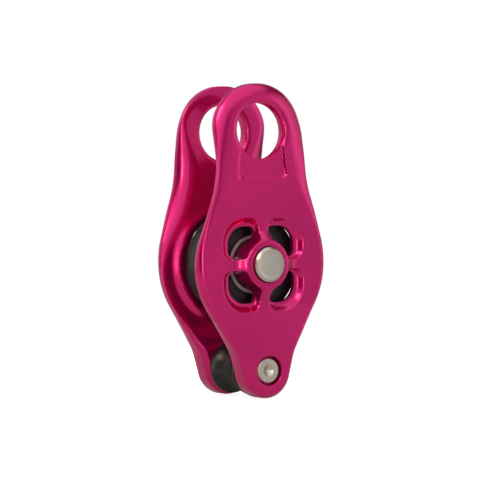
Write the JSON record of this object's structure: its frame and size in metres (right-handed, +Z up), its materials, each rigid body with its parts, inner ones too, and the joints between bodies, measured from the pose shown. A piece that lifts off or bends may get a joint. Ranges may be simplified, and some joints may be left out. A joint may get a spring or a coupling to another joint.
{
  "type": "rope pulley",
  "caption": "Fixed-cheek arborist rope pulley with a ball-bearing sheave between two side plates, an attachment eye at the top and a becket spacer below the sheave.",
  "frame": {"origin": "centre of the attachment eye, on the mid-plane between the side plates", "axes": "+Z up along the plates from the axle to the eye, Y along the axle with the front plate at -Y, X across the plates along the rope"},
  "size_m": [0.0516, 0.037, 0.1069],
  "materials": {
    "anodised_plate": "bright magenta anodised aluminium, satin gloss",
    "hard_anodised_sheave": "dark grey hard anodised, turned",
    "stainless_steel": "turned stainless steel with polished chamfers",
    "bearing_steel": "ground bearing steel",
    "bearing_balls": "polished bearing steel",
    "bearing_cage": "pressed brass",
    "seal_rubber": "matt black nitrile rubber",
    "black_spacer": "black anodised, satin"
  },
  "bodies": {
    "frame": {"front_side_plate": "anodised_plate", "rear_side_plate": "anodised_plate", "main_axle": "stainless_steel", "axle_end_cap": "stainless_steel", "front_bearing_inner_race": "bearing_steel", "rear_bearing_inner_race": "bearing_steel", "inner_race_spacer": "bearing_steel", "front_shim_washer": "stainless_steel", "rear_shim_washer": "stainless_steel", "becket_spacer": "black_spacer", "becket_bolt": "stainless_steel", "becket_nut": "stainless_steel"},
    "sheave": {"sheave": "hard_anodised_sheave", "front_bearing_outer_race": "bearing_steel", "rear_bearing_outer_race": "bearing_steel", "front_bearing_outer_seal": "seal_rubber", "front_bearing_inner_seal": "seal_rubber", "rear_bearing_outer_seal": "seal_rubber", "rear_bearing_inner_seal": "seal_rubber"},
    "front_ball_set": {"front_bearing_balls": "bearing_balls", "front_bearing_cage": "bearing_cage"},
    "rear_ball_set": {"rear_bearing_balls": "bearing_balls", "rear_bearing_cage": "bearing_cage"}
  },
  "joints": [
    {"name": "sheave_spin", "type": "hinge", "parent": "frame", "child": "sheave", "pos_m": [0, 0, -0.0452], "axis": [0, 1, 0], "continuous": true},
    {"name": "front_ball_set_spin", "type": "hinge", "parent": "frame", "child": "front_ball_set", "pos_m": [0, 0, -0.0452], "axis": [0, 1, 0], "continuous": true},
    {"name": "rear_ball_set_spin", "type": "hinge", "parent": "frame", "child": "rear_ball_set", "pos_m": [0, 0, -0.0452], "axis": [0, 1, 0], "continuous": true}
  ],
  "couplings": [
    {"joint": "front_ball_set_spin", "follows": "sheave_spin", "ratio": 0.60948},
    {"joint": "rear_ball_set_spin", "follows": "sheave_spin", "ratio": 0.60948}
  ]
}
